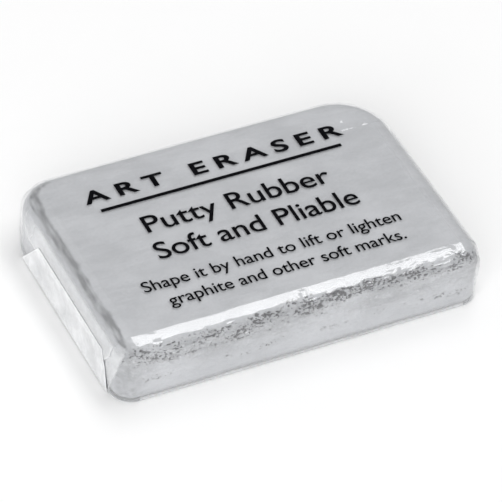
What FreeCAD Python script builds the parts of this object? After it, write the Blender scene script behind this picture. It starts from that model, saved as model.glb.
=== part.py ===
"""A block of kneaded putty rubber in a tight clear film overwrap, folded shut at both ends like a parcel.

+X runs along the block's length, +Y towards its back and +Z up. The origin is the centre of the face that
the wrapped block rests on. Each STEP file holds one piece: the block, the film sleeve round it, and at each
end the four panels that the film is folded into, which hinge at the edges of the sleeve. All sizes are in mm.
"""
import FreeCAD, Part
import os

Vec = FreeCAD.Vector

# The putty rubber block. Its corners are seen from above, and each has its own roundness.
BLOCK_LENGTH = 43.8
BLOCK_WIDTH = 29.7
BLOCK_HEIGHT = 7.45
FRONT_LEFT_CORNER_R = 2.4
FRONT_RIGHT_CORNER_R = 2.4
BACK_RIGHT_CORNER_R = 6.2
BACK_LEFT_CORNER_R = 4.2
TOP_EDGE_R = 2.2
BOTTOM_EDGE_R = 0.8

# The film and the room around it.
FILM_THICKNESS = 0.05
FILM_TO_BLOCK = 0.10  # between the block and the film on every side
LAYER_GAP = 0.06  # between two layers of film that are folded over each other
HINGE_GAP = 0.10  # between a panel's edge and the film that it is folded from
EDGE_GAP = 0.12  # between the edges of two neighbouring panels

# The lap seam along the underside.
SEAM_OVERLAP = 6.0
SEAM_TO_CENTRE = 2.0  # from the block's centre line to the seam's near edge

# The end folds. A taper is how far a panel's slanted edge runs inwards for each mm that it runs up or down.
END_LAND = 0.2  # flat top film between the rounded edge and the top flap's fold
TOP_FLAP_DROP = 1.5  # below the rounded edge
TOP_FLAP_TAPER = 0.8
BOTTOM_FLAP_SHORT_OF_EDGE = 0.3  # from the bottom flap's free edge up to the rounded edge
BOTTOM_FLAP_FRONT_TAPER = 0.35
BOTTOM_FLAP_BACK_TAPER = 0.85

# Where the layers lie, as distances out from the block: the sleeve and the tucks, then the top flap,
# then the bottom flap.
LAYER_PITCH = FILM_THICKNESS + LAYER_GAP
SLEEVE_LAYER = FILM_TO_BLOCK
TOP_FLAP_LAYER = SLEEVE_LAYER + LAYER_PITCH
BOTTOM_FLAP_LAYER = TOP_FLAP_LAYER + LAYER_PITCH

BLOCK_BOTTOM_Z = FILM_THICKNESS + FILM_TO_BLOCK
BLOCK_TOP_Z = BLOCK_BOTTOM_Z + BLOCK_HEIGHT
ROUNDED_EDGE_Z = BLOCK_TOP_Z - TOP_EDGE_R  # where the end face starts to round over into the top
BOTTOM_FLAP_TIP_Z = ROUNDED_EDGE_Z - BOTTOM_FLAP_SHORT_OF_EDGE
BOTTOM_FOLD_Z = FILM_THICKNESS / 2
FAR = BLOCK_LENGTH + BLOCK_WIDTH  # longer than any cut needs


class Corner:
    """One plan corner of the block: which end and side it is on, and the centre of its arc."""

    def __init__(self, end, side, radius):
        self.end, self.side, self.radius = end, side, radius
        self.x = BLOCK_LENGTH / 2 - radius
        self.y = BLOCK_WIDTH / 2 - radius


LEFT, RIGHT, FRONT, BACK = -1, 1, -1, 1
CORNERS = {
    (LEFT, FRONT): Corner(LEFT, FRONT, FRONT_LEFT_CORNER_R),
    (RIGHT, FRONT): Corner(RIGHT, FRONT, FRONT_RIGHT_CORNER_R),
    (RIGHT, BACK): Corner(RIGHT, BACK, BACK_RIGHT_CORNER_R),
    (LEFT, BACK): Corner(LEFT, BACK, BACK_LEFT_CORNER_R),
}


def box(x_range, y_range, z_range):
    """A box from two limits along each axis, given in either order."""
    lows = [min(pair) for pair in (x_range, y_range, z_range)]
    sizes = [abs(pair[1] - pair[0]) for pair in (x_range, y_range, z_range)]
    return Part.makeBox(*sizes, Vec(*lows))


def plan_face(offset, z):
    """The block's outline seen from above, grown by offset, as a face at height z."""
    half_length, half_width = BLOCK_LENGTH / 2 + offset, BLOCK_WIDTH / 2 + offset
    diagonal = 0.5**0.5
    edges, last = [], None
    order = [(LEFT, FRONT), (RIGHT, FRONT), (RIGHT, BACK), (LEFT, BACK)]
    for key in order + order[:1]:
        corner = CORNERS[key]
        radius = corner.radius + offset
        centre = Vec(corner.end * corner.x, corner.side * corner.y, z)
        on_end = Vec(corner.end * half_length, centre.y, z)
        on_side = Vec(centre.x, corner.side * half_width, z)
        middle = centre + Vec(corner.end, corner.side, 0) * (radius * diagonal)
        starts_on_end = corner.end == corner.side
        first, second = (on_end, on_side) if starts_on_end else (on_side, on_end)
        if last is not None:
            edges.append(Part.LineSegment(last, first).toShape())
        if len(edges) < 2 * len(order):
            edges.append(Part.Arc(first, middle, second).toShape())
        last = second
    return Part.Face(Part.Wire(edges))


def rounded_solid(offset, bottom_z, bottom_edge_r=0.0):
    """The block's shape grown by offset at its sides and top, standing on bottom_z."""
    top_z = BLOCK_TOP_Z + offset
    solid = plan_face(offset, bottom_z).extrude(Vec(0, 0, top_z - bottom_z))
    rims = {top_z: TOP_EDGE_R + offset, bottom_z: bottom_edge_r}
    for rim_z, radius in rims.items():
        if radius > 0:
            solid = solid.makeFillet(radius, [e for e in solid.Edges if on_level(e, rim_z)])
    return solid


def on_level(edge, z):
    """True if the edge lies flat at height z."""
    return abs(edge.BoundBox.ZMin - z) < Part.Precision.confusion() * 10 and edge.BoundBox.ZLength < 1e-6


def film_layer(distance):
    """A skin of film that lies distance out from the block, down to the film's underside."""
    outer = rounded_solid(distance + FILM_THICKNESS, 0)
    return outer.cut(rounded_solid(distance, FILM_THICKNESS))


def end_prism(end, start_x, outline):
    """A prism over an outline of (y, z) points, from start_x out past the given end."""
    points = [Vec(end * start_x, y, z) for y, z in outline]
    face = Part.Face(Part.makePolygon(points + points[:1]))
    return face.extrude(Vec(end * FAR, 0, 0))


def eraser_block():
    return rounded_solid(0, BLOCK_BOTTOM_Z, BOTTOM_EDGE_R)


def top_fold_x():
    """How far from the middle the sleeve's top film runs before it folds down over the end."""
    return BLOCK_LENGTH / 2 - TOP_EDGE_R - END_LAND


def film_sleeve():
    """The tube round the block: each panel ends at its own fold, and the underside runs to both ends."""
    above = (FILM_THICKNESS, FAR)
    region = box((-FAR, FAR), (-FAR, FAR), (-FAR, FILM_THICKNESS))
    for end in (LEFT, RIGHT):
        front, back = CORNERS[end, FRONT], CORNERS[end, BACK]
        region = region.fuse(
            [
                box((0, end * top_fold_x()), (-front.y, back.y), above),
                box((0, end * front.x), (-FAR, -front.y), above),
                box((0, end * back.x), (back.y, FAR), above),
            ]
        )
    tube = film_layer(SLEEVE_LAYER).common(region)
    seam_end = BLOCK_LENGTH / 2 + FILM_TO_BLOCK
    seam = box(
        (-seam_end, seam_end),
        (SEAM_TO_CENTRE, SEAM_TO_CENTRE + SEAM_OVERLAP),
        (BOTTOM_FOLD_Z, 2 * FILM_THICKNESS),
    )
    return tube.fuse(seam).removeSplitter()


def top_flap_outline(end, inset):
    """The top flap's outline on the end, as (y, z) points, drawn in by inset from where its neighbours start."""
    front = -CORNERS[end, FRONT].y + inset
    back = CORNERS[end, BACK].y - inset
    taper_run = TOP_FLAP_TAPER * TOP_FLAP_DROP
    tip_z = ROUNDED_EDGE_Z - TOP_FLAP_DROP + inset
    return [
        (front, FAR),
        (front, ROUNDED_EDGE_Z),
        (front + taper_run, tip_z),
        (back - taper_run, tip_z),
        (back, ROUNDED_EDGE_Z),
        (back, FAR),
    ]


def top_flap(end):
    """The inner flap, folded from the top film down over the rounded edge onto the end."""
    prism = end_prism(end, top_fold_x() + HINGE_GAP, top_flap_outline(end, EDGE_GAP))
    return film_layer(TOP_FLAP_LAYER).common(prism)


def bottom_flap(end):
    """The outer flap, folded from the underside up over the top flap."""
    front = -CORNERS[end, FRONT].y + EDGE_GAP
    back = CORNERS[end, BACK].y - EDGE_GAP
    root_z = BOTTOM_FOLD_Z + HINGE_GAP
    outline = [
        (front, root_z),
        (back, root_z),
        (back - BOTTOM_FLAP_BACK_TAPER * BOTTOM_FLAP_TIP_Z, BOTTOM_FLAP_TIP_Z),
        (front + BOTTOM_FLAP_FRONT_TAPER * BOTTOM_FLAP_TIP_Z, BOTTOM_FLAP_TIP_Z),
    ]
    inner_x = BLOCK_LENGTH / 2 + BOTTOM_FLAP_LAYER
    prism = end_prism(end, inner_x, outline)
    return prism.common(box((end * inner_x, end * (inner_x + FILM_THICKNESS)), (-FAR, FAR), (-FAR, FAR)))


def tuck(end, side):
    """A side panel: it wraps the corner and fills the end between the slanted edges of the two flaps."""
    corner = CORNERS[end, side]
    taper = BOTTOM_FLAP_FRONT_TAPER if side == FRONT else BOTTOM_FLAP_BACK_TAPER
    fold_x = corner.x + HINGE_GAP
    foot_z = FILM_THICKNESS + HINGE_GAP
    top_side = side * (corner.y + EDGE_GAP)
    wrapped = box((end * fold_x, end * FAR), (top_side, side * FAR), (foot_z, FAR))
    outline = [
        (side * FAR, foot_z),
        (side * (corner.y - taper * foot_z), foot_z),
        (side * (corner.y - taper * ROUNDED_EDGE_Z), ROUNDED_EDGE_Z),
        (side * FAR, ROUNDED_EDGE_Z),
    ]
    region = wrapped.fuse(end_prism(end, fold_x, outline))
    under_top_flap = end_prism(end, fold_x, top_flap_outline(end, 0))
    return film_layer(SLEEVE_LAYER).common(region).cut(under_top_flap)


def pieces():
    """Every piece by the name of its node."""
    made = {"eraser_block": eraser_block(), "film_sleeve": film_sleeve()}
    for end, end_name in ((LEFT, "left"), (RIGHT, "right")):
        made[f"{end_name}_top_flap"] = top_flap(end)
        made[f"{end_name}_bottom_flap"] = bottom_flap(end)
        made[f"{end_name}_front_tuck"] = tuck(end, FRONT)
        made[f"{end_name}_back_tuck"] = tuck(end, BACK)
    return made


os.makedirs("parts", exist_ok=True)
for name, shape in pieces().items():
    solids = shape.Solids
    if len(solids) != 1 or not shape.isValid():
        raise ValueError(f"{name} is {len(solids)} solids, valid: {shape.isValid()}")
    solids[0].exportStep(f"parts/{name}.step")
    size = solids[0].BoundBox
    print(f"{name}: {size.XLength:.2f} x {size.YLength:.2f} x {size.ZLength:.2f} mm")
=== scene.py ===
import math

import bmesh
import bpy
import numpy as np
from mathutils import Matrix, Vector, noise


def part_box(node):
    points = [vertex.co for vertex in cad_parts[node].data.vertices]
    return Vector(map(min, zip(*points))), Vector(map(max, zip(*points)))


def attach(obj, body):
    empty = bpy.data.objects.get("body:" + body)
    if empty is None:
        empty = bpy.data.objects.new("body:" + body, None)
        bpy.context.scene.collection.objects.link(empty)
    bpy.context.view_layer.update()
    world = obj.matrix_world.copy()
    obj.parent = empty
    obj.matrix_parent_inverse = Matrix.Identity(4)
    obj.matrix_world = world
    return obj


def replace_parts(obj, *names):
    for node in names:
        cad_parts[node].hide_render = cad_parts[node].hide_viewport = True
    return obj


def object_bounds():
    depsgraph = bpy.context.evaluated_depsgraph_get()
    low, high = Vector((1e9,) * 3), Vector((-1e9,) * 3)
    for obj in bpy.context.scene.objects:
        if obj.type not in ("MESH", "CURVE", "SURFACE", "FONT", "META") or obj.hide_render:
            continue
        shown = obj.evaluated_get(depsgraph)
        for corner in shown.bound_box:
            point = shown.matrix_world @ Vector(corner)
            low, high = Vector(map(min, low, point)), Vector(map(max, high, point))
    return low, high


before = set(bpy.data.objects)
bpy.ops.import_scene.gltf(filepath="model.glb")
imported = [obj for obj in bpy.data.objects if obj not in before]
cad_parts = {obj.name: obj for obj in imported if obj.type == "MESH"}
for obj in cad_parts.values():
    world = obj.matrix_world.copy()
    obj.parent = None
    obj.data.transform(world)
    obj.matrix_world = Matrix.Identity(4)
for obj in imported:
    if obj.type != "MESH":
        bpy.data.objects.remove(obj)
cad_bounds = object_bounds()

bl_info = {
    "name": "Wrapped Putty Eraser",
    "version": (1, 0, 0),
    "blender": (4, 5, 0),
    "location": "View3D > Sidebar > Putty Eraser",
    "description": "Builds a block of kneaded putty rubber in its clear printed film overwrap",
    "category": "Object",
}

MM = 0.001
LEFT, RIGHT, FRONT, BACK = -1, 1, -1, 1
END_NAMES = {LEFT: "left", RIGHT: "right"}
SIDE_NAMES = {FRONT: "front", BACK: "back"}
BLOCK_LOW, BLOCK_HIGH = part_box("eraser_block")

ALMOST = 1e-9  # metres; nearer than this counts as touching
WHITE = (1, 1, 1, 1)

# Rows and columns of points in the film's flat sheets, and columns across a tuck's wing
TOP_FLAP_GRID = (40, 64)
BOTTOM_FLAP_GRID = (32, 90)
SEAM_GRID = (12, 90)
WING_COLUMNS = 14

# Capital height of Blender's own font at size 1, and how often the ink is cut to follow the film
CAPITAL_HEIGHT = 0.729
INK_STEP = 1.0 * MM

# The softboxes' directions from the object, distances in metres, and widths and lengths in metres
OVERHEAD_TOWARDS, OVERHEAD_DISTANCE, OVERHEAD_SIZE = (0.35, 0.1, 0.93), 0.6, (0.2, 0.64)
FILL_TOWARDS, FILL_DISTANCE, FILL_SIZE = (-0.62, -0.66, 0.4), 0.75, (0.7, 0.6)
FLOOR_REACH = 1.5
SENSOR_WIDTH = 36


class Seed:
    """Which part of the noise each feature reads, so that no two features share a pattern."""

    LUMPS = 1
    TORN_BAND = 3
    CLUSTERS = 4
    LEDGES = 5
    HOLLOWS = 6
    SPECKS = 7
    CRUMBS = 8
    STREAKS = 9
    # noise for the wavy edge of the painted shade band on the left end
    PAINTED_SHADE_EDGE = 10
    SOFT_WRINKLES = 11
    CRINKLES = 12
    CLING = 13
    RAGGED = 14
    # unevenness of the painted light along the film's foot
    FOOT_LIGHT = 15
    SMALL_HOLLOWS = 16
    TOP_FLAP = 21
    TOP_FLAP_HAZE = 23
    BOTTOM_FLAP = 31
    BOTTOM_FLAP_HAZE = 33
    CREASE = 41
    TUCK_WRINKLES = 42


def length_property(name, description, default_mm):
    """A length that the sidebar shows, kept in metres and given here in millimetres."""
    return bpy.props.FloatProperty(
        name=name,
        description=description,
        default=default_mm * MM,
        subtype="DISTANCE",
        unit="LENGTH",
        precision=5,
    )


def colour_property(name, description, default):
    return bpy.props.FloatVectorProperty(
        name=name, description=description, default=default, size=3, min=0, max=1, subtype="COLOR"
    )


def share_property(name, description, default):
    return bpy.props.FloatProperty(name=name, description=description, default=default, min=0, soft_max=1)


def angle_property(name, description, degrees):
    radians = math.radians(degrees)
    return bpy.props.FloatProperty(
        name=name, description=description, default=radians, subtype="ANGLE", unit="ROTATION"
    )


def power_property(name, description, watts):
    return bpy.props.FloatProperty(
        name=name, description=description, default=watts, min=0, subtype="POWER", unit="POWER"
    )


def text_property(name, description, default):
    return bpy.props.StringProperty(name=name, description=description, default=default)


class PuttySettings(bpy.types.PropertyGroup):
    """Shape and colour of the putty rubber block"""

    front_corner_r: length_property("Front corners", "Plan radius of both front corners", 2.4)
    back_right_corner_r: length_property("Back right corner", "Plan radius of the back right corner", 6.2)
    back_left_corner_r: length_property("Back left corner", "Plan radius of the back left corner", 4.2)
    top_edge_r: length_property("Top edge", "Radius of the pressed top edge", 2.2)
    bottom_edge_r: length_property("Bottom edge", "Radius of the bottom edge", 0.8)
    mesh_step: length_property("Mesh step", "Spacing of the mesh along the torn front", 0.15)
    lump_depth: length_property("Lumps", "Depth of the soft lumps all over", 0.09)
    pit_depth: length_property("Pits", "Depth of the torn pits on the front", 0.3)
    pit_length: length_property("Pit length", "Usual length of a torn pit", 0.42)
    pit_height: length_property("Pit height", "Usual height of a torn pit", 0.24)
    tear_depth: length_property("Tears", "Depth of the ragged ledges on the front", 0.2)
    light_colour: colour_property("Light putty", "The lighter streaks", (0.622, 0.628, 0.645))
    dark_colour: colour_property("Dark putty", "The darker streaks", (0.488, 0.495, 0.512))
    # Painted shade colour for the inside of the pits and the dark specks
    pit_shade_colour: colour_property("Pit", "Inside the torn pits", (0.075, 0.075, 0.08))
    # Colour of the painted glints on the torn band
    glint_colour: colour_property("Crumb", "The pale crumbs of the torn band", (0.86, 0.86, 0.87))


class FilmSettings(bpy.types.PropertyGroup):
    """The clear film overwrap"""

    thickness: length_property("Thickness", "Thickness of the film", 0.05)
    to_block: length_property("Room to block", "Room between the film and the block", 0.10)
    layer_pitch: length_property("Layer pitch", "From one folded layer to the next", 0.11)
    hinge_gap: length_property("Hinge gap", "Room between a fold and the panel that turns on it", 0.1)
    bottom_edge_r: length_property("Bottom edge", "Radius of the film's bottom edge", 0.3)
    end_land: length_property("End land", "Flat film between the rounded edge and the top fold", 0.2)
    top_flap_drop: length_property("Top flap drop", "Top flap's reach below the rounded edge", 1.5)
    flap_short: length_property("Bottom flap stop", "Room between its edge and the rounded edge", 0.3)
    seam_start: length_property("Seam start", "From the middle to the lap seam's near edge", 2.0)
    seam_width: length_property("Seam width", "Width of the lap seam under the block", 6.0)
    top_taper: share_property("Top flap taper", "Inward run of the top flap's slanted edges", 0.8)
    front_taper: share_property("Front taper", "Inward run of the bottom flap's front edge", 0.35)
    back_taper: share_property("Back taper", "Inward run of the bottom flap's back edge", 0.85)
    mesh_step: length_property("Mesh step", "Spacing of the mesh of the film", 0.28)
    wrinkle: length_property("Wrinkles", "Height of the soft wrinkles", 0.05)
    crinkle: length_property("Crinkles", "Height of the sharp crinkles near the ends", 0.16)
    kink: length_property("Kink", "Height of the kink halfway along the front edge", 0.07)
    ridge: length_property("Crease ridge", "Height of the slanting crease on each corner", 0.16)
    tuck_wrinkle: length_property("Tuck wrinkles", "Height of the wrinkles on the corners", 0.07)
    top_sway: length_property("Top flap waves", "Depth of the waves in the top flaps", 0.04)
    bottom_sway: length_property("Bottom flap waves", "Depth of the waves in the bottom flaps", 0.14)
    colour: colour_property("Haze colour", "Colour of the film's haze", (0.93, 0.94, 0.95))
    clear_haze: share_property("Haze", "Haze of a single layer of film", 0.035)
    folded_haze: share_property("Folded haze", "Haze where several layers lie over each other", 0.68)
    front_layers: share_property("Front corner haze", "Share of the folded haze on the front corners", 0.5)
    back_layers: share_property("Back corner haze", "Share of the folded haze on the back corners", 0.15)


class PrintSettings(bpy.types.PropertyGroup):
    """The words printed on the top of the film"""

    ink_colour: colour_property("Ink", "Colour of the printing ink", (0.004, 0.004, 0.005))
    thickness: length_property("Ink thickness", "How far the ink stands off the film", 0.012)
    heading: text_property("Heading", "Spaced capitals", "ART ERASER")
    first_line: text_property("First line", "Large line", "Putty Rubber")
    second_line: text_property("Second line", "Large line", "Soft and Pliable")
    first_note: text_property("First note", "Small line", "Shape it by hand to lift or lighten")
    second_note: text_property("Second note", "Small line", "graphite and other soft marks.")


class StudioSettings(bpy.types.PropertyGroup):
    """Floor, lights and camera"""

    floor_colour: colour_property("Floor", "Colour of the pale floor", (0.97, 0.97, 0.97))
    room_light: share_property("Room light", "Strength of the even white surroundings", 0.57)
    softbox_power: power_property("Softbox power", "Power of the overhead softbox", 1.2)
    fill_power: power_property("Fill power", "Power of the fill softbox", 3.7)
    azimuth: angle_property("Azimuth", "Camera turned to the left of the front", -28.46)
    elevation: angle_property("Elevation", "Camera raised above the floor", 42.77)
    roll: angle_property("Roll", "Camera rolled about its own axis", 4.33)
    distance: length_property("Distance", "Camera to the aim point", 441.3)
    focal_length: bpy.props.FloatProperty(
        name="Focal length", description="In mm, on a sensor 36 mm wide", default=286.9
    )
    aim_right: length_property("Aim right", "Aim point to the right of the object's centre", 0.53)
    aim_down: length_property("Aim down", "Aim point below the object's centre", 1.185)


# ---------------------------------------------------------------------------------------------- shapes


def smooth(low, high, value):
    """0 below low, 1 above high and a soft step between, for numbers or arrays."""
    share = np.clip((value - low) / (high - low), 0, 1)
    return share * share * (3 - 2 * share)


def noise_field(points, stretch_mm, seed, octaves=1):
    """Soft noise in about -1 to 1 at points in metres, with lumps of stretch_mm along X, Y and Z."""
    scaled = points / (np.array(stretch_mm) * MM) + seed * 17.31
    total = np.zeros(len(points))
    for octave in range(octaves):
        share = 0.5**octave
        layer = scaled * 2**octave
        total += share * np.fromiter((noise.noise(Vector(p)) for p in layer), float, len(layer))
    return total


class RoundedBlock:
    """The block's shape grown by an offset: a box with rounded plan corners, top edges and bottom edges.

    A point on the flat sides of the plain box is moved to its place on the rounded one, so that a mesh
    of the plain box becomes a mesh of the rounded block.
    """

    def __init__(self, putty, offset, bottom_edge_r):
        self.half_x = (BLOCK_HIGH.x - BLOCK_LOW.x) / 2 + offset
        self.half_y = (BLOCK_HIGH.y - BLOCK_LOW.y) / 2 + offset
        self.low_z, self.high_z = BLOCK_LOW.z - offset, BLOCK_HIGH.z + offset
        self.top_r = putty.top_edge_r + offset
        self.bottom_r = bottom_edge_r
        self.corner_r = {
            (LEFT, FRONT): putty.front_corner_r + offset,
            (RIGHT, FRONT): putty.front_corner_r + offset,
            (LEFT, BACK): putty.back_left_corner_r + offset,
            (RIGHT, BACK): putty.back_right_corner_r + offset,
        }

    def corner(self, end, side):
        """How far from the middle a corner's arc starts, along X and along Y."""
        radius = self.corner_r[end, side]
        return self.half_x - radius, self.half_y - radius

    def place(self, flat):
        """Rounded positions and outward directions for points on the plain box."""
        x, y, z = flat.T
        sign_x, sign_y = np.where(x < 0, LEFT, RIGHT), np.where(y < 0, FRONT, BACK)
        radius = np.zeros(len(flat))
        for (end, side), corner_r in self.corner_r.items():
            radius[(sign_x == end) & (sign_y == side)] = corner_r
        along, across = abs(x) - (self.half_x - radius), abs(y) - (self.half_y - radius)
        in_corner = (along > 0) & (across > 0)
        reach, spread = np.maximum(along, across), np.hypot(along, across)
        spread = np.where(spread > 0, spread, 1)
        shrink = np.where(in_corner, reach / spread, 1)
        plan_x = self.half_x - radius + np.where(in_corner, along * shrink, along)
        plan_y = self.half_y - radius + np.where(in_corner, across * shrink, across)
        on_end = (self.half_x - abs(x)) < (self.half_y - abs(y))
        out_x = np.where(in_corner, along / spread, on_end)
        out_y = np.where(in_corner, across / spread, ~on_end)
        to_sides = np.minimum(self.half_x - abs(x), self.half_y - abs(y))
        inset = np.where(in_corner, radius - reach, to_sides)
        normal_out = (inset < ALMOST).astype(float)
        on_top, on_underside = z >= self.high_z - ALMOST, z <= self.low_z + ALMOST
        normal_up = np.where(on_top, 1.0, 0.0) - np.where(on_underside, 1.0, 0.0)
        normal_out[normal_up != 0] = 0
        move, new_z = np.zeros(len(flat)), z.copy()
        edges = ((self.high_z, 1, self.top_r), (self.low_z, -1, self.bottom_r))
        for level, way, edge_r in edges:
            outward, rise = edge_r - inset, edge_r - way * (level - z)
            on_edge = (outward > 0) & (rise > 0)
            far, slant = np.maximum(outward, rise), np.hypot(outward, rise)
            slant = np.where(slant > 0, slant, 1)
            move = np.where(on_edge, outward * far / slant - outward, move)
            new_z = np.where(on_edge, level - way * edge_r + way * rise * far / slant, new_z)
            normal_out = np.where(on_edge, outward / slant, normal_out)
            normal_up = np.where(on_edge, way * rise / slant, normal_up)
        new_x, new_y = sign_x * (plan_x + out_x * move), sign_y * (plan_y + out_y * move)
        normal_x, normal_y = sign_x * out_x * normal_out, sign_y * out_y * normal_out
        return np.column_stack([new_x, new_y, new_z]), np.column_stack([normal_x, normal_y, normal_up])


def spaced(stops, steps):
    """Numbers from the first stop to the last, through every stop, each stretch cut to its own step."""
    runs = []
    for start, end, step in zip(stops, stops[1:], steps):
        count = max(2, round(abs(end - start) / step) + 1)
        runs.append(np.linspace(start, end, count)[:-1])
    return np.append(np.concatenate(runs), stops[-1])


def grid_faces(rows, columns):
    """Quads of a grid of rows by columns points, facing along row direction x column direction."""
    index = np.arange(rows * columns).reshape(rows, columns)
    corners = [index[:-1, :-1], index[1:, :-1], index[1:, 1:], index[:-1, 1:]]
    return np.stack(corners, axis=-1).reshape(-1, 4)


def merge(points, faces):
    """Joins points that share a place and drops faces that shrink to a line."""
    rounded = np.round(points / (1e-4 * MM))
    _, first, inverse = np.unique(rounded, axis=0, return_index=True, return_inverse=True)
    faces = [list(dict.fromkeys(face)) for face in inverse.reshape(-1)[faces].tolist()]
    return points[first], [face for face in faces if len(face) > 2]


def box_mesh(xs, ys, zs, keep=None):
    """Points and quads of a plain box's sides, cut at the given places.

    keep(axis, sign, middles) says which of a side's quads stay.
    """
    points, faces, count = [], [], 0
    cuts = (xs, ys, zs)
    for axis in range(3):
        first, second = (axis + 1) % 3, (axis + 2) % 3
        for sign in (-1, 1):
            side = np.zeros((len(cuts[first]), len(cuts[second]), 3))
            side[..., first] = cuts[first][:, None]
            side[..., second] = cuts[second][None, :]
            side[..., axis] = cuts[axis][0 if sign < 0 else -1]
            flat = side.reshape(-1, 3)
            quads = grid_faces(*side.shape[:2])
            if keep is not None:
                quads = quads[keep(axis, sign, flat[quads].mean(axis=1))]
            points.append(flat)
            faces.append((quads if sign > 0 else quads[:, ::-1]) + count)
            count += len(flat)
    return merge(np.concatenate(points), np.concatenate(faces))


def used_points(faces):
    """Which points the faces use, and the faces renumbered for those points alone."""
    used = np.unique([i for face in faces for i in face])
    where = {old: new for new, old in enumerate(used.tolist())}
    return used, [[where[i] for i in face] for face in faces]


def face_normals(points, faces):
    """Outward direction at each point, averaged over its faces."""
    normals = np.zeros_like(points)
    for face in faces:
        a, b, c = points[face[0]], points[face[1]], points[face[-1]]
        direction = np.cross(b - a, c - a)
        for i in face:
            normals[i] += direction
    return normals / np.maximum(np.linalg.norm(normals, axis=1, keepdims=True), 1e-20)


def thicken(points, faces, normals, thickness):
    """A closed sheet: the given surface, a second one below it, and a rim along its open edges."""
    count = len(points)
    both = np.concatenate([points + normals * thickness / 2, points - normals * thickness / 2])
    edges = {}
    for face in faces:
        for a, b in zip(face, face[1:] + face[:1]):
            edges[a, b] = True
    rim = [[b, a, a + count, b + count] for a, b in edges if (b, a) not in edges]
    under = [[i + count for i in reversed(face)] for face in faces]
    return both, faces + under + rim


def mesh_object(name, points, faces, material, values=None, sharp_angle=math.radians(50)):
    """An object from points and faces, smooth but for its sharp edges, with named values at its points."""
    mesh = bpy.data.meshes.new(name)
    mesh.from_pydata([tuple(p) for p in points], [], faces)
    for key, numbers in (values or {}).items():
        attribute = mesh.attributes.new(key, "FLOAT", "POINT")
        attribute.data.foreach_set("value", np.asarray(numbers, np.float32))
    mesh.materials.append(material)
    shell = bmesh.new()
    shell.from_mesh(mesh)
    for face in shell.faces:
        face.smooth = True
    for edge in shell.edges:
        edge.smooth = edge.calc_face_angle(math.pi) < sharp_angle
    shell.to_mesh(mesh)
    shell.free()
    made = bpy.data.objects.new(name, mesh)
    bpy.context.scene.collection.objects.link(made)
    return made


# ------------------------------------------------------------------------------------------- materials


class Wire:
    """A node's output. Python's arithmetic on it adds Math nodes."""

    def __init__(self, graph, socket):
        self.graph, self.socket = graph, socket

    def math(self, operation, *values):
        return self.graph.add("ShaderNodeMath", {"operation": operation}, dict(enumerate(values))).out()

    def __add__(self, other):
        return self.math("ADD", self, other)

    def __radd__(self, other):
        return self.math("ADD", other, self)

    def __sub__(self, other):
        return self.math("SUBTRACT", self, other)

    def __rsub__(self, other):
        return self.math("SUBTRACT", other, self)

    def __mul__(self, other):
        return self.math("MULTIPLY", self, other)

    def __rmul__(self, other):
        return self.math("MULTIPLY", other, self)

    def __pow__(self, other):
        return self.math("POWER", self, other)

    def clipped(self):
        return self.graph.add("ShaderNodeClamp", {}, {0: self}).out()

    def step(self, low, high):
        """0 below low and 1 above high, with a soft step between."""
        settings = {"interpolation_type": "SMOOTHSTEP"}
        return self.graph.add("ShaderNodeMapRange", settings, {"Value": self, 1: low, 2: high}).out()


class Node:
    """A node that was added, whose outputs are read as wires."""

    def __init__(self, graph, node):
        self.graph, self.node = graph, node

    def out(self, name=0):
        return Wire(self.graph, self.node.outputs[name])


class Graph:
    """A material's nodes."""

    def __init__(self, name):
        self.material = bpy.data.materials.new(name)
        self.material.use_nodes = True
        self.tree = self.material.node_tree
        self.tree.nodes.clear()

    def add(self, kind, settings=None, inputs=None):
        """A node of this kind, with its settings made first and then its inputs, as values or as wires."""
        node = self.tree.nodes.new(kind)
        for key, value in (settings or {}).items():
            setattr(node, key, value)
        for key, value in (inputs or {}).items():
            if isinstance(value, Wire):
                self.tree.links.new(value.socket, node.inputs[key])
            else:
                node.inputs[key].default_value = value
        return Node(self, node)

    def finish(self, shader):
        self.add("ShaderNodeOutputMaterial", {}, {"Surface": shader})
        return self.material

    def place_mm(self):
        """Where a point lies on the piece, in millimetres."""
        place = self.add("ShaderNodeTexCoord").out("Object")
        scale = {"operation": "SCALE"}
        return self.add("ShaderNodeVectorMath", scale, {0: place, "Scale": 1 / MM}).out()

    def noise(self, place, stretch_mm, detail=3.0, roughness=0.55, distortion=0.0):
        """Noise of 0 to 1 with lumps of stretch_mm along X, Y and Z."""
        divide = {"operation": "DIVIDE"}
        shrunk = self.add("ShaderNodeVectorMath", divide, {0: place, 1: stretch_mm}).out()
        inputs = {"Vector": shrunk, "Scale": 1.0, "Detail": detail}
        inputs |= {"Roughness": roughness, "Distortion": distortion}
        return self.add("ShaderNodeTexNoise", {}, inputs).out("Fac")

    def value(self, name):
        """A number kept at the piece's points under this name."""
        return self.add("ShaderNodeAttribute", {"attribute_name": name}).out("Fac")

    def mix(self, share, first, second):
        """A colour between two colours."""
        settings = {"data_type": "RGBA"}
        return self.add("ShaderNodeMix", settings, {0: share, 6: first, 7: second}).out(2)

    def bump(self, height, distance_mm, strength=1.0):
        inputs = {"Strength": strength, "Distance": distance_mm * MM, "Height": height}
        return self.add("ShaderNodeBump", {}, inputs).out("Normal")


def opaque(colour, shade=1.0):
    """The colour, made darker or lighter, with full cover."""
    return (*(channel * shade for channel in colour), 1.0)


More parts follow.
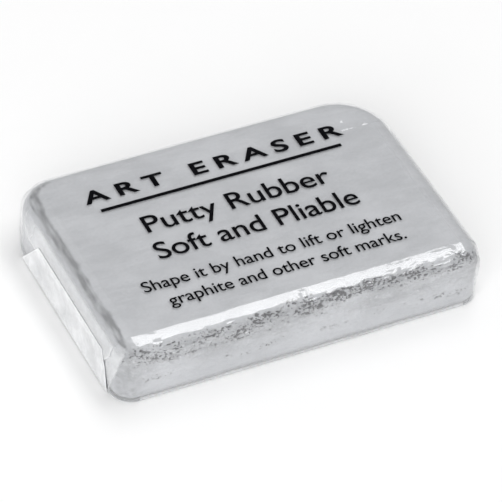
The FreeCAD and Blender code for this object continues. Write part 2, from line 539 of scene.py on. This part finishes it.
def putty_material(putty):
    """Light grey putty with soft fibrous streaks and blotches. Painted shade darkens its torn pits, the torn
    band, the left end's rounded top edge and the front left corner, and painted glints dot the torn band.
    """
    g = Graph("grey_putty")
    place = g.place_mm()
    blotches = g.noise(place, (7.0, 5.0, 5.0), 2.0)
    streaks = g.noise(place, (3.4, 1.1, 0.9), 4.0, 0.62, 0.5)
    grain = g.noise(place, (0.35, 0.28, 0.28), 3.0, 0.6)
    # Values kept at the points, which also mark where shade is painted
    torn, painted_shade, rough = g.value("torn"), g.value("painted_shade"), g.value("rough")
    open_share = g.value("open_share")
    lightness = (0.42 * blotches + 0.33 * streaks + 0.25 * grain).step(0.34, 0.66)
    colour = g.mix(lightness, opaque(putty.dark_colour), opaque(putty.light_colour))
    # Painted shade: the left end's top edge and the front left corner darkened towards deep grey
    colour = g.mix((painted_shade * 0.95).clipped(), colour, opaque(putty.dark_colour, 0.42))
    # Painted shade over the ragged torn band, deeper where the streaks are dark
    colour = g.mix(rough * 0.55 * (1 - lightness), colour, opaque(putty.dark_colour, 0.55))
    # Painted shade inside the torn pits
    colour = g.mix(torn.step(0.05, 0.8) * 0.9, colour, opaque(putty.pit_shade_colour))
    # Painted shade: tiny dark specks over the torn band, with no pits under them
    specks = (g.noise(place, (0.38, 0.3, 0.27), 2.0, 0.6) + 0.15 * open_share).step(0.66, 0.72)
    specks = specks * open_share.step(0.08, 0.35)
    colour = g.mix(specks * 0.92, colour, opaque(putty.pit_shade_colour))
    # Painted glints: pale specks over the torn band, away from the pits and dark specks
    painted_glint = g.noise(place, (0.3, 0.22, 0.22), 2.0).step(0.62, 0.72)
    painted_glint = painted_glint * rough * (1 - torn) * (1 - specks)
    colour = g.mix(painted_glint * 0.55, colour, opaque(putty.glint_colour))
    relief = 0.5 * grain + 0.5 * g.noise(place, (1.6, 0.5, 0.5), 3.0)
    inputs = {
        "Base Color": colour,
        "Roughness": 0.62 + 0.25 * streaks,
        "Normal": g.bump(relief, 0.05, 0.6),
        "Specular IOR Level": 0.35,
    }
    return g.finish(g.add("ShaderNodeBsdfPrincipled", {}, inputs).out())


def film_material(film):
    """Clear film: see-through, with more sheen towards grazing, and white haze where layers stack. The haze
    also carries painted light along the film's foot and painted highlights along the cut edges of the flaps
    and seam.
    """
    g = Graph("glossy_wrap")
    place = g.place_mm()
    creases = g.noise(place, (1.1, 1.1, 1.1), 4.0, 0.55, 0.8)
    ripple = g.noise(place, (2.6, 1.7, 1.7), 1.0)
    normal = g.bump(ripple, 0.03)
    facing = g.add("ShaderNodeLayerWeight", {}, {"Blend": 0.5, "Normal": normal}).out("Facing")
    sheen = 0.07 + 0.88 * facing**5
    clear = g.add("ShaderNodeBsdfTransparent", {}, {"Color": (0.985, 0.987, 0.99, 1)}).out()
    inputs = {"Color": WHITE, "Roughness": 0.1, "Normal": normal}
    gloss = g.add("ShaderNodeBsdfAnisotropic", {}, inputs).out()
    film_shader = g.add("ShaderNodeMixShader", {}, {0: sheen.clipped(), 1: clear, 2: gloss}).out()
    inputs = {"Base Color": opaque(film.colour), "Roughness": 0.32, "Normal": normal}
    milk = g.add("ShaderNodeBsdfPrincipled", {}, inputs).out()
    cloud = (g.value("haze") * (0.72 + 0.56 * creases)).clipped()
    return g.finish(g.add("ShaderNodeMixShader", {}, {0: cloud, 1: film_shader, 2: milk}).out())


def ink_material(printing):
    """Black ink with the faint unevenness of a printed film."""
    g = Graph("black_ink")
    place = g.place_mm()
    cover = g.noise(place, (0.5, 0.5, 0.5), 3.0)
    full, worn = opaque(printing.ink_colour), opaque(printing.ink_colour, 2.0)
    inputs = {
        "Base Color": g.mix(cover.step(0.35, 0.75), full, worn),
        "Roughness": 0.45 + 0.2 * cover,
        "Specular IOR Level": 0.0,
    }
    return g.finish(g.add("ShaderNodeBsdfPrincipled", {}, inputs).out())


def floor_material(studio):
    """Plain pale floor with hardly any tooth."""
    g = Graph("pale_floor")
    tooth = g.noise(g.place_mm(), (9.0, 9.0, 9.0), 2.0)
    colour = g.mix(tooth, opaque(studio.floor_colour, 0.985), opaque(studio.floor_colour))
    inputs = {"Base Color": colour, "Roughness": 0.9}
    return g.finish(g.add("ShaderNodeBsdfPrincipled", {}, inputs).out())


def shared_material(name, make, settings):
    """The material of this name, made once and used by every piece of that finish."""
    return bpy.data.materials.get(name) or make(settings)


# ---------------------------------------------------------------------------------------- putty block


def height_share(places):
    """How high each point lies on the block, from 0 at its foot to 1 at its top."""
    return (places[:, 2] - BLOCK_LOW.z) / (BLOCK_HIGH.z - BLOCK_LOW.z)


def torn_density(places, normals):
    """The share torn open: a dense band high on the front, a sparse line lower, none elsewhere."""
    faces_front = smooth(0.2, 0.7, -normals[:, 1])
    height = height_share(places) + 0.07 * noise_field(places, (5, 5, 5), Seed.TORN_BAND, 2)
    narrower = 0.13 * smooth(-8 * MM, 10 * MM, places[:, 0])
    upper = smooth(0.55, 0.71, height - narrower) * smooth(1.0, 0.92, height)
    lower = smooth(0.27, 0.34, height) * smooth(0.44, 0.37, height)
    clusters = smooth(-0.35, 0.4, noise_field(places, (3.4, 2, 1.3), Seed.CLUSTERS, 2))
    away_from_corner = 0.45 + 0.55 * smooth(-20.5 * MM, -17.5 * MM, places[:, 0])
    banded = upper * (0.35 + 0.65 * clusters) + 0.5 * lower * clusters
    return faces_front * away_from_corner * banded


def torn_pits(places, density, putty):
    """How deep in a torn pit each point lies, 0 to 1: ragged hollows, and small specks between them."""
    torn = np.zeros(len(places))
    near = density > 0.02
    points, share = places[near], density[near]
    length, height = putty.pit_length / MM, putty.pit_height / MM
    large, small = (1.9 * length, 1.7 * height, 1.7 * height), (length, height, height)
    hollows = 0.65 * noise_field(points, large, Seed.HOLLOWS, 2)
    hollows = hollows + 0.65 * noise_field(points, small, Seed.SMALL_HOLLOWS, 2)
    specks = noise_field(points, (0.4 * length, 0.5 * height, 0.5 * height), Seed.SPECKS)
    ragged = smooth(0.0, 0.25, hollows - (0.58 - 0.5 * share))
    dotted = smooth(0.0, 0.15, specks - (0.62 - 0.4 * share))
    torn[near] = smooth(0.02, 0.12, share) * np.maximum(ragged, 0.8 * dotted)
    return torn


def putty_relief(places, normals, putty):
    """How far each point is sunk in from the smooth block, and its values for the material, which also mark
    where shade and glints are painted.
    """
    lumps = 0.5 + 0.5 * np.clip(noise_field(places, (8, 6, 5), Seed.LUMPS, 2), -1, 1)
    density = torn_density(places, normals)
    torn = torn_pits(places, density, putty)
    front = smooth(0.3, 0.8, -normals[:, 1])
    height = height_share(places)
    wavy_height = height + 0.1 * noise_field(places, (5, 5, 5), Seed.RAGGED)
    ragged = front * smooth(0.3, 0.62, wavy_height) * smooth(1.0, 0.85, height)
    ledges = ragged * smooth(-0.25, 0.45, noise_field(places, (2.2, 1.0, 0.5), Seed.LEDGES, 3))
    crumbs = 0.2 * (front + 0.15) * noise_field(places, (0.6, 0.4, 0.4), Seed.CRUMBS)
    depth = putty.lump_depth * lumps + putty.tear_depth * (ledges + crumbs) + putty.pit_depth * torn
    # Painted shade on the left end's top edge and the front left corner
    painted_shade = painted_edge_shade(places, normals)
    return depth, {"torn": torn, "painted_shade": painted_shade, "rough": ragged, "open_share": density}


def painted_edge_shade(places, normals):
    """Painted shade on the putty: a streaky dark band on the left end's rounded top edge, and a painted
    shadow of the crease on the front left corner.
    """
    streaked = 0.72 + 0.75 * noise_field(places, (0.5, 2.0, 0.5), Seed.STREAKS, 2)
    steepness = normals[:, 2] + 0.05 * noise_field(places, (1.4, 1.5, 1.4), Seed.PAINTED_SHADE_EDGE, 2)
    on_edge = smooth(0.66, 0.8, steepness) * smooth(0.975, 0.93, steepness)
    on_left_end = (normals[:, 0] < 0) * smooth(0.55, 0.3, abs(normals[:, 1]))
    in_corner = smooth(-18.8 * MM, -20.8 * MM, places[:, 0]) * smooth(0.1, 0.5, -normals[:, 1])
    return np.maximum(streaked * on_edge * on_left_end, 0.55 * in_corner * streaked)


class OBJECT_OT_putty_block(bpy.types.Operator):
    """Build the putty rubber block with its torn front"""

    bl_idname = "object.putty_block"
    bl_label = "Putty Block"

    def execute(self, context):
        putty = context.scene.putty
        shape = RoundedBlock(putty, 0.0, putty.bottom_edge_r)
        fine, coarse = putty.mesh_step, 2 * putty.mesh_step
        xs = spaced([-shape.half_x, shape.half_x], [fine])
        front_edge = -shape.half_y + shape.top_r
        ys = spaced([-shape.half_y, front_edge, shape.half_y], [0.7 * fine, coarse])
        edge_low, edge_high = shape.low_z + shape.bottom_r, shape.high_z - shape.top_r
        zs = spaced([shape.low_z, edge_low, edge_high, shape.high_z], [fine, 0.75 * fine, 0.7 * fine])
        flat, faces = box_mesh(xs, ys, zs)
        places, normals = shape.place(flat)
        depth, values = putty_relief(places, normals, putty)
        material = shared_material("grey_putty", putty_material, putty)
        pitted = places - normals * depth[:, None]
        block = mesh_object("putty_block", pitted, faces, material, values, math.pi)
        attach(block, "eraser")
        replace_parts(block, "eraser_block")
        return {"FINISHED"}


# ---------------------------------------------------------------------------------------- film sleeve


def film_shape(scene, layer=0):
    """The rounded shape that a layer of film follows, at the middle of its thickness."""
    film = scene.film
    offset = film.to_block + film.thickness / 2 + layer * film.layer_pitch
    return RoundedBlock(scene.putty, offset, film.bottom_edge_r)


def top_fold_x(scene):
    """How far from the middle the top film runs before it folds down over an end."""
    return BLOCK_HIGH.x - scene.putty.top_edge_r - scene.film.end_land


def film_lift(places, normals, film):
    """How far the film stands off its tight shape: soft ripples, and crinkles along the front edge."""
    x, front, up = places[:, 0], -normals[:, 1], normals[:, 2]
    calm = 1 - 0.85 * smooth(0.8, 1.0, up) * smooth(18 * MM, 19.3 * MM, abs(x))
    on_edge = smooth(0.08, 0.4, up) * smooth(0.9995, 0.96, up) * smooth(0.03, 0.2, front)
    low_edge = on_edge * smooth(0.95, 0.75, up)
    near_ends = 1.1 * smooth(3 * MM, 15 * MM, x) + 1.1 * smooth(-15.5 * MM, -19 * MM, x)
    above = smooth(-0.5, 0.0, up)
    soft = film.wrinkle * (0.5 + 0.5 * noise_field(places, (9, 5, 5), Seed.SOFT_WRINKLES))
    flatter = 1 - 0.75 * smooth(0.97, 1.0, up)
    sharp = abs(noise_field(places, (1.4, 0.6, 0.6), Seed.CRINKLES, 2))
    cling = noise_field(places, (1.1, 0.5, 0.5), Seed.CLING, 2)
    crinkles = film.crinkle * (on_edge * near_ends * sharp + 0.3 * low_edge * cling)
    kink = film.kink * on_edge * smooth(-0.35 * MM, 0.0, x) * smooth(1.1 * MM, 0.1 * MM, x)
    return above * calm * (soft * flatter + crinkles + kink)


def sleeve_quads(scene, shape):
    """Which quads of the plain box belong to the sleeve: all but the ends and the top's corners."""
    fold_x = top_fold_x(scene)

    def keep(axis, sign, middles):
        x, y, _ = middles.T
        if axis == 0:
            return np.zeros(len(middles), bool)
        if axis == 2 and sign < 0:
            return np.ones(len(middles), bool)
        kept = np.ones(len(middles), bool)
        for end, side in shape.corner_r:
            corner_x, corner_y = shape.corner(end, side)
            kept &= ~((end * x > corner_x) & (side * y > corner_y))
        if axis == 2:
            kept &= abs(x) < fold_x
        return kept

    return keep


def sleeve_cuts(scene, shape):
    """Where the plain box is cut, so that quads end at the folds and follow the roundings."""
    step = scene.film.mesh_step
    fold_x = top_fold_x(scene)
    front_x, front_y = shape.corner(LEFT, FRONT)
    left_x, left_y = shape.corner(LEFT, BACK)
    right_x, right_y = shape.corner(RIGHT, BACK)
    lefts, rights = {-shape.half_x, -fold_x, -left_x, -front_x}, {right_x, fold_x, shape.half_x, front_x}
    stops_x = sorted(lefts | rights)
    xs = spaced(stops_x, [step] * (len(stops_x) - 1))
    stops_y = [-shape.half_y, -front_y, right_y, left_y, shape.half_y]
    ys = spaced(stops_y, [0.5 * step, 2 * step, step, step])
    stops_z = [shape.low_z, shape.low_z + shape.bottom_r, shape.high_z - shape.top_r, shape.high_z]
    zs = spaced(stops_z, [0.5 * step, 1.5 * step, 0.5 * step])
    return xs, ys, zs


def film_piece(name, points, faces, film, haze, body):
    """A closed piece of film that rides on its body."""
    normals = face_normals(points, faces)
    solid, solid_faces = thicken(points, faces, normals, film.thickness)
    material = shared_material("glossy_wrap", film_material, film)
    piece = mesh_object(name, solid, solid_faces, material, {"haze": np.tile(haze, 2)})
    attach(piece, body)
    return piece


def film_object(name, points, faces, film, haze, body, node):
    """A closed piece of film that rides on its body and stands for its CAD node."""
    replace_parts(film_piece(name, points, faces, film, haze, body), node)


class OBJECT_OT_film_sleeve(bpy.types.Operator):
    """Build the film tube round the block"""

    bl_idname = "object.film_sleeve"
    bl_label = "Film Sleeve"

    def lap_seam(self, scene, shape):
        """The second layer inside the underside, where the tube's two edges lap over each other."""
        film = scene.film

        def point(row, column):
            y = film.seam_start + row * film.seam_width
            return (2 * column - 1) * shape.half_x, y, shape.low_z + film.thickness

        points, faces = sheet_grid(*SEAM_GRID, point)
        faces = [face[::-1] for face in faces]
        # Two layers of haze, plus a painted highlight along the seam's cut edges
        haze = np.full(len(points), 2.5 * film.clear_haze) + 0.25 * cut_edges(*SEAM_GRID)
        film_piece("lap_seam", points, faces, film, haze, "sleeve")

    def execute(self, context):
        scene = context.scene
        shape = film_shape(scene)
        flat, faces = box_mesh(*sleeve_cuts(scene, shape), keep=sleeve_quads(scene, shape))
        used, faces = used_points(faces)
        places, normals = shape.place(flat[used])
        film = scene.film
        lifted = places + normals * film_lift(places, normals, film)[:, None]
        # Painted light: extra haze along the film's foot makes a pale lit line at its bottom bend
        painted_foot_light = smooth(1.1 * MM, 0.25 * MM, lifted[:, 2]) * (abs(normals[:, 2]) < 0.999)
        uneven = 1 + 0.4 * noise_field(lifted, (4, 4, 2), Seed.FOOT_LIGHT)
        haze = film.clear_haze + 0.35 * painted_foot_light * uneven
        film_object("clear_sleeve", lifted, faces, film, haze, "sleeve", "film_sleeve")
        self.lap_seam(scene, shape)
        return {"FINISHED"}


# -------------------------------------------------------------------------------------- end folds


def sheet_grid(rows, columns, point):
    """Points and quads of a grid. point(row share, column share) gives each point's place."""
    shares = [(r / (rows - 1), c / (columns - 1)) for r in range(rows) for c in range(columns)]
    points = np.array([point(row, column) for row, column in shares])
    return points, grid_faces(rows, columns).tolist()


def cut_edges(rows, columns):
    """1 along a flap's cut edges and 0 elsewhere, for a grid whose first row is the fold."""
    edge = np.zeros((rows, columns))
    edge[-1, :] = edge[:, 0] = edge[:, -1] = 1
    return edge.reshape(-1)


def row_shares(rows, columns):
    """Each grid point's row, from 0 at the fold to 1 at the tip."""
    return np.repeat(np.linspace(0, 1, rows), columns)


def flap_sway(points, seed, depth):
    """How far a flap sinks towards the block: never outwards, as an opened bottom flap lies on the floor."""
    soft = noise_field(points, (4, 5, 3.5), seed)
    sharp = abs(noise_field(points, (3, 4.6, 3), seed + 1))
    return depth * np.clip(0.35 + 0.5 * soft + 0.6 * sharp, 0, 1.2)


class OBJECT_OT_end_flaps(bpy.types.Operator):
    """Build the top and bottom flaps folded over both ends"""

    bl_idname = "object.end_flaps"
    bl_label = "End Flaps"

    def top_flap(self, scene, end):
        film, shape = scene.film, film_shape(scene, 1)
        fold_x = top_fold_x(scene)
        arc_x, arc_z = shape.half_x - shape.top_r, shape.high_z - shape.top_r
        _, front_y = shape.corner(end, FRONT)
        _, back_y = shape.corner(end, BACK)
        start_x = fold_x + film.hinge_gap
        land, arc = arc_x - start_x, shape.top_r * math.pi / 2
        path = land + arc + film.top_flap_drop

        def point(row, column):
            run = row * path
            if run <= land:
                x, z, down = start_x + run, shape.high_z, 0.0
            elif run <= land + arc:
                angle = (run - land) / shape.top_r
                x = arc_x + shape.top_r * math.sin(angle)
                z, down = arc_z + shape.top_r * math.cos(angle), 0.0
            else:
                down = run - land - arc
                x, z = shape.half_x, arc_z - down
            inset = film.top_taper * down
            y = -front_y + inset + column * (back_y + front_y - 2 * inset)
            return end * x, y, z

        points, faces = sheet_grid(*TOP_FLAP_GRID, point)
        if end == RIGHT:
            faces = [face[::-1] for face in faces]
        normals = face_normals(points, faces)
        row = row_shares(*TOP_FLAP_GRID)
        free = smooth(0.25, 0.6, row) * smooth(0.78, 0.68, row)
        sway = flap_sway(points, Seed.TOP_FLAP + end, film.top_sway) * free
        points = points + normals * sway[:, None]
        below = smooth(arc_z + 1.75 * MM, arc_z + 1.0 * MM, points[:, 2])
        cloud = 0.62 + 0.25 * noise_field(points, (2.5, 6, 1.6), Seed.TOP_FLAP_HAZE, 2)
        haze = film.clear_haze + (cloud * film.folded_haze - film.clear_haze) * below
        # Painted highlight along the flap's cut edges
        haze = haze + 0.3 * cut_edges(*TOP_FLAP_GRID) * below
        haze *= 1 - 0.7 * smooth(6.5 * MM, 10 * MM, points[:, 1])
        name = f"{END_NAMES[end]}_top_flap"
        film_object(f"film_{name}", points, faces, film, haze, name, name)

    def bottom_flap(self, scene, end):
        film, shape = scene.film, film_shape(scene, 2)
        tip_z = shape.high_z - shape.top_r - film.flap_short
        root_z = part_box(f"{END_NAMES[end]}_bottom_flap")[0].z
        _, front_y = shape.corner(end, FRONT)
        _, back_y = shape.corner(end, BACK)

        def point(row, column):
            z = root_z + row * (tip_z - root_z)
            front, back = -front_y + film.front_taper * z, back_y - film.back_taper * z
            return end * shape.half_x, front + column * (back - front), z

        points, faces = sheet_grid(*BOTTOM_FLAP_GRID, point)
        if end == LEFT:
            faces = [face[::-1] for face in faces]
        normals = face_normals(points, faces)
        row = row_shares(*BOTTOM_FLAP_GRID)
        free = smooth(0.0, 0.4, row) * (1 - 0.7 * smooth(0.58, 0.74, row))
        sway = flap_sway(points, Seed.BOTTOM_FLAP + end, film.bottom_sway) * free
        points = points + normals * sway[:, None]
        cloud = 1.0 + 0.45 * noise_field(points, (2.5, 4.2, 3.0), Seed.BOTTOM_FLAP_HAZE, 2)
        # Folded haze, plus a painted highlight along the flap's cut edges
        haze = film.folded_haze * cloud + 0.3 * cut_edges(*BOTTOM_FLAP_GRID)
        name = f"{END_NAMES[end]}_bottom_flap"
        film_object(f"film_{name}", points, faces, film, haze, name, name)

    def execute(self, context):
        for end in (LEFT, RIGHT):
            self.top_flap(context.scene, end)
            self.bottom_flap(context.scene, end)
        return {"FINISHED"}


class OBJECT_OT_end_tucks(bpy.types.Operator):
    """Build the side panels that wrap the corners and tuck in under the flaps"""

    bl_idname = "object.end_tucks"
    bl_label = "End Tucks"

    def wrapped_corner(self, scene, shape, end, side):
        """The corner's share of the sides and top, on the plain box."""
        step = 0.7 * scene.film.mesh_step
        corner_x, corner_y = shape.corner(end, side)
        xs = spaced([end * corner_x, end * shape.half_x][::end], [step])
        ys = spaced([side * corner_y, side * shape.half_y][::side], [step])
        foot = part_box(f"{END_NAMES[end]}_{SIDE_NAMES[side]}_tuck")[0].z
        stops = [foot, shape.high_z - shape.top_r, shape.high_z]
        zs = spaced(stops, [step, 0.6 * step])

        def keep(axis, sign, middles):
            return np.full(len(middles), sign == (end, side, 1)[axis])

        flat, faces = box_mesh(xs, ys, zs, keep)
        used, faces = used_points(faces)
        places, normals = shape.place(flat[used])
        return places, faces, zs[zs <= shape.high_z - shape.top_r + ALMOST]

    def tucked_wing(self, scene, shape, end, side, rows_z):
        """The flat wing on the end face, between the slanted edges of the two flaps."""
        film = scene.film
        _, corner_y = shape.corner(end, side)
        edge_z = shape.high_z - shape.top_r
        taper = film.front_taper if side == FRONT else film.back_taper
        points = []
        for z in rows_z:
            beside_top_flap = z > edge_z - film.top_flap_drop
            under_top = film.top_taper * (edge_z - z) if beside_top_flap else math.inf
            depth = min(taper * z, under_top)
            ys = side * (corner_y - depth * np.linspace(0, 1, WING_COLUMNS))
            points += [(end * shape.half_x, y, z) for y in ys]
        faces = grid_faces(len(rows_z), WING_COLUMNS)
        if end * side > 0:
            faces = faces[:, ::-1]
        return np.array(points), faces

    def crease(self, film, shape, end, side, points, faces):
        """Raises the slanting crease down the corner, and says which points lie on its folded side."""
        corner_x, corner_y = shape.corner(end, side)
        radius = shape.corner_r[end, side]
        along = np.clip(end * points[:, 0] - corner_x, 0, None)
        across = np.clip(side * points[:, 1] - corner_y, 0, None)
        turn = np.arctan2(along, across) / (math.pi / 2)
        height = (points[:, 2] - shape.low_z) / (shape.high_z - shape.low_z)
        crease_turn = 1.0 - 0.62 * height + 0.03 * noise_field(points, (3, 3, 2), Seed.CREASE)
        beyond = (turn - crease_turn) * radius * math.pi / 2
        on_side = smooth(0.0, 0.25, 1 - height)
        folded = smooth(-0.05 * MM, 0.25 * MM, beyond) * smooth(0.05, 0.2, 1 - height)
        ridge = np.exp(-((beyond / (0.35 * MM)) ** 2)) * on_side
        ridge = ridge * smooth(0.0, 0.12, turn) * smooth(1.0, 0.9, turn)
        normals = face_normals(points, faces)
        wrinkles = abs(noise_field(points, (1.3, 1.3, 1.0), Seed.TUCK_WRINKLES, 2))
        wrinkles = wrinkles * smooth(0.0, 0.1, turn) * smooth(1.0, 0.93, turn)
        rise = film.ridge * ridge + film.tuck_wrinkle * wrinkles
        return points + normals * rise[:, None], folded

    def tuck(self, scene, shape, end, side):
        """The wrapped corner and its wing as one piece of film."""
        film = scene.film
        corner_points, corner_faces, rows_z = self.wrapped_corner(scene, shape, end, side)
        wing_points, wing_faces = self.tucked_wing(scene, shape, end, side, rows_z)
        quads = [face + [face[-1]] * (4 - len(face)) for face in corner_faces]
        quads = np.array(quads + (wing_faces + len(corner_points)).tolist())
        points, faces = merge(np.concatenate([corner_points, wing_points]), quads)
        used, faces = used_points(faces)
        points, folded = self.crease(film, shape, end, side, points[used], faces)
        layers = film.front_layers if side == FRONT else film.back_layers
        haze = film.clear_haze + (layers * film.folded_haze - film.clear_haze) * folded
        name = f"{END_NAMES[end]}_{SIDE_NAMES[side]}_tuck"
        film_object(f"film_{name}", points, faces, film, haze, name, name)

    def execute(self, context):
        shape = film_shape(context.scene)
        for end in (LEFT, RIGHT):
            for side in (FRONT, BACK):
                self.tuck(context.scene, shape, end, side)
        return {"FINISHED"}


# ------------------------------------------------------------------------------------------- printing


class OBJECT_OT_printing(bpy.types.Operator):
    """Print the words and the rule on the top of the film"""

    bl_idname = "object.film_printing"
    bl_label = "Film Printing"

    def words(self, text, capital_mm, width_mm, baseline_mm, centre_mm, bold=0.006, spacing=1.0):
        """A mesh of the words, with capitals of the given height, set to the given width."""
        curve = bpy.data.curves.new("words", "FONT")
        curve.body, curve.size, curve.offset = text, 1.0, bold
        curve.space_character = spacing
        curve.extrude = 0.5
        carrier = bpy.data.objects.new("words", curve)
        bpy.context.scene.collection.objects.link(carrier)
        bpy.context.view_layer.update()
        depsgraph = bpy.context.evaluated_depsgraph_get()
        mesh = bpy.data.meshes.new_from_object(carrier.evaluated_get(depsgraph))
        bpy.data.objects.remove(carrier)
        bpy.data.curves.remove(curve)
        places = np.array([v.co for v in mesh.vertices])
        scale_y = capital_mm * MM / CAPITAL_HEIGHT
        low, high = places[:, 0].min(), places[:, 0].max()
        scale_x = width_mm * MM / (high - low)
        places[:, 0] = (places[:, 0] - (low + high) / 2) * scale_x + centre_mm * MM
        places[:, 1] = places[:, 1] * scale_y + baseline_mm * MM
        return mesh, places

    def rule(self, width_mm, height_mm, middle_mm):
        """A plain straight rule, as a mesh like the words."""
        box = bmesh.new()
        bmesh.ops.create_cube(box, size=1.0)
        mesh = bpy.data.meshes.new("rule")
        box.to_mesh(mesh)
        box.free()
        places = np.array([v.co for v in mesh.vertices])
        places[:, 0] *= width_mm * MM
        places[:, 1] = places[:, 1] * height_mm * MM + middle_mm * MM
        return mesh, places

    def lay_on_film(self, scene, mesh, places, name):
        """Cuts the ink into short pieces, lays it on the film's top and gives it its thickness."""
        printing = scene.printing
        for vertex, place in zip(mesh.vertices, places):
            vertex.co = place
        ink = bmesh.new()
        ink.from_mesh(mesh)
        bpy.data.meshes.remove(mesh)
        bmesh.ops.remove_doubles(ink, verts=ink.verts, dist=1e-6)
        low, high = places.min(axis=0), places.max(axis=0)
        for x in np.arange(low[0] + INK_STEP / 2, high[0], INK_STEP):
            everything = [*ink.verts, *ink.edges, *ink.faces]
            bmesh.ops.bisect_plane(ink, geom=everything, plane_co=(x, 0, 0), plane_no=(1, 0, 0))
        shape = film_shape(scene)
        flat = np.array([(v.co.x, v.co.y, shape.high_z) for v in ink.verts])
        up = np.tile((0.0, 0.0, 1.0), (len(flat), 1))
        surface = shape.high_z + scene.film.thickness / 2 + film_lift(flat, up, scene.film)
        for vertex, height in zip(ink.verts, surface):
            upper = vertex.co.z > 0
            vertex.co.z = height + (printing.thickness if upper else 0.25 * printing.thickness)
        made = bpy.data.meshes.new(name)
        ink.to_mesh(made)
        ink.free()
        made.materials.clear()
        made.materials.append(shared_material("black_ink", ink_material, printing))
        piece = bpy.data.objects.new(name, made)
        scene.collection.objects.link(piece)
        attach(piece, "sleeve")

    def execute(self, context):
        scene = context.scene
        printing = scene.printing
        heading, line, note = 2.0, 2.75, 1.7  # heights of the capitals, in millimetres
        lines = {
            "printed_heading": self.words(
                printing.heading,
                heading,
                width_mm=31.6,
                baseline_mm=8.1,
                centre_mm=0.0,
                bold=0.025,
                spacing=1.5,
            ),
            "printed_rule": self.rule(width_mm=29.4, height_mm=0.46, middle_mm=6.6),
            "printed_first_line": self.words(
                printing.first_line, line, width_mm=22.5, baseline_mm=1.45, centre_mm=-0.1
            ),
            "printed_second_line": self.words(
                printing.second_line, line, width_mm=24.4, baseline_mm=-2.9, centre_mm=0.3
            ),
            "printed_first_note": self.words(
                printing.first_note, note, width_mm=31.0, baseline_mm=-7.1, centre_mm=-0.1
            ),
            "printed_second_note": self.words(
                printing.second_note, note, width_mm=28.4, baseline_mm=-9.95, centre_mm=0.4
            ),
        }
        for name, (mesh, places) in lines.items():
            self.lay_on_film(scene, mesh, places, name)
        return {"FINISHED"}


# ---------------------------------------------------------------------------------------------- stage


class OBJECT_OT_studio(bpy.types.Operator):
    """Set up the pale floor, the soft light and the camera"""

    bl_idname = "object.eraser_studio"
    bl_label = "Studio"

    def floor(self, studio):
        corners = FLOOR_REACH * np.array([(-1, -1, 0), (1, -1, 0), (1, 1, 0), (-1, 1, 0)])
        floor = mesh_object("floor", corners, [[0, 1, 2, 3]], floor_material(studio))

    def room(self, scene, studio):
        world = bpy.data.worlds.new("white_room")
        world.use_nodes = True
        background = world.node_tree.nodes["Background"]
        background.inputs["Color"].default_value = WHITE
        background.inputs["Strength"].default_value = studio.room_light
        scene.world = world

    def softbox(self, scene, name, towards, distance, size, power, mirrored=True):
        """A rectangular softbox that faces the object. The film mirrors it only when mirrored is true."""
        light = bpy.data.lights.new(name, "AREA")
        light.shape, light.size, light.size_y, light.energy = "RECTANGLE", *size, power
        lamp = bpy.data.objects.new(name, light)
        away = Vector(towards).normalized()
        side = Vector((0, 1, 0)).cross(away).normalized()
        turn = Matrix((side, away.cross(side), away)).transposed().to_4x4()
        lamp.matrix_world = Matrix.Translation(away * distance) @ turn
        lamp.visible_glossy = mirrored
        scene.collection.objects.link(lamp)

    def camera(self, scene, studio, middle):
        azimuth, elevation, roll = studio.azimuth, studio.elevation, studio.roll
        level = math.cos(elevation)
        back = Vector((math.sin(azimuth) * level, -math.cos(azimuth) * level, math.sin(elevation)))
        right = Vector((math.cos(azimuth), math.sin(azimuth), 0))
        up = back.cross(right)
        across = right * math.cos(roll) + up * math.sin(roll)
        upright = up * math.cos(roll) - right * math.sin(roll)
        aim = middle + across * studio.aim_right - upright * studio.aim_down
        data = bpy.data.cameras.new("camera")
        data.lens, data.sensor_width = studio.focal_length, SENSOR_WIDTH
        camera = bpy.data.objects.new("camera", data)
        turn = Matrix((across, upright, back)).transposed().to_4x4()
        camera.matrix_world = Matrix.Translation(aim + back * studio.distance) @ turn
        scene.collection.objects.link(camera)
        scene.camera = camera

    def execute(self, context):
        scene = context.scene
        studio = scene.studio
        low, high = (Vector(corner) for corner in cad_bounds)
        self.floor(studio)
        self.room(scene, studio)
        overhead = (OVERHEAD_TOWARDS, OVERHEAD_DISTANCE, OVERHEAD_SIZE, studio.softbox_power)
        self.softbox(scene, "overhead_softbox", *overhead)
        fill = (FILL_TOWARDS, FILL_DISTANCE, FILL_SIZE, studio.fill_power)
        self.softbox(scene, "fill_softbox", *fill, mirrored=False)
        self.camera(scene, studio, (low + high) / 2)
        scene.view_settings.view_transform = "Standard"
        return {"FINISHED"}


class VIEW3D_PT_putty_eraser(bpy.types.Panel):
    """Sidebar panel with a button for each piece"""

    bl_label = "Putty Eraser"
    bl_idname = "VIEW3D_PT_putty_eraser"
    bl_space_type = "VIEW_3D"
    bl_region_type = "UI"
    bl_category = "Putty Eraser"

    def draw(self, context):
        for maker in OPERATORS:
            self.layout.operator(maker.bl_idname)


SETTINGS = {
    "putty": PuttySettings,
    "film": FilmSettings,
    "printing": PrintSettings,
    "studio": StudioSettings,
}
OPERATORS = (
    OBJECT_OT_studio,
    OBJECT_OT_putty_block,
    OBJECT_OT_film_sleeve,
    OBJECT_OT_end_flaps,
    OBJECT_OT_end_tucks,
    OBJECT_OT_printing,
)


def register():
    for kind in (*SETTINGS.values(), *OPERATORS, VIEW3D_PT_putty_eraser):
        bpy.utils.register_class(kind)
    for name, kind in SETTINGS.items():
        setattr(bpy.types.Scene, name, bpy.props.PointerProperty(type=kind))


def unregister():
    for name in SETTINGS:
        delattr(bpy.types.Scene, name)
    for kind in (VIEW3D_PT_putty_eraser, *reversed(OPERATORS), *reversed(SETTINGS.values())):
        bpy.utils.unregister_class(kind)


def main():
    register()
    for maker in OPERATORS:
        group, name = maker.bl_idname.split(".")
        getattr(getattr(bpy.ops, group), name)()


if __name__ == "__main__":
    main()
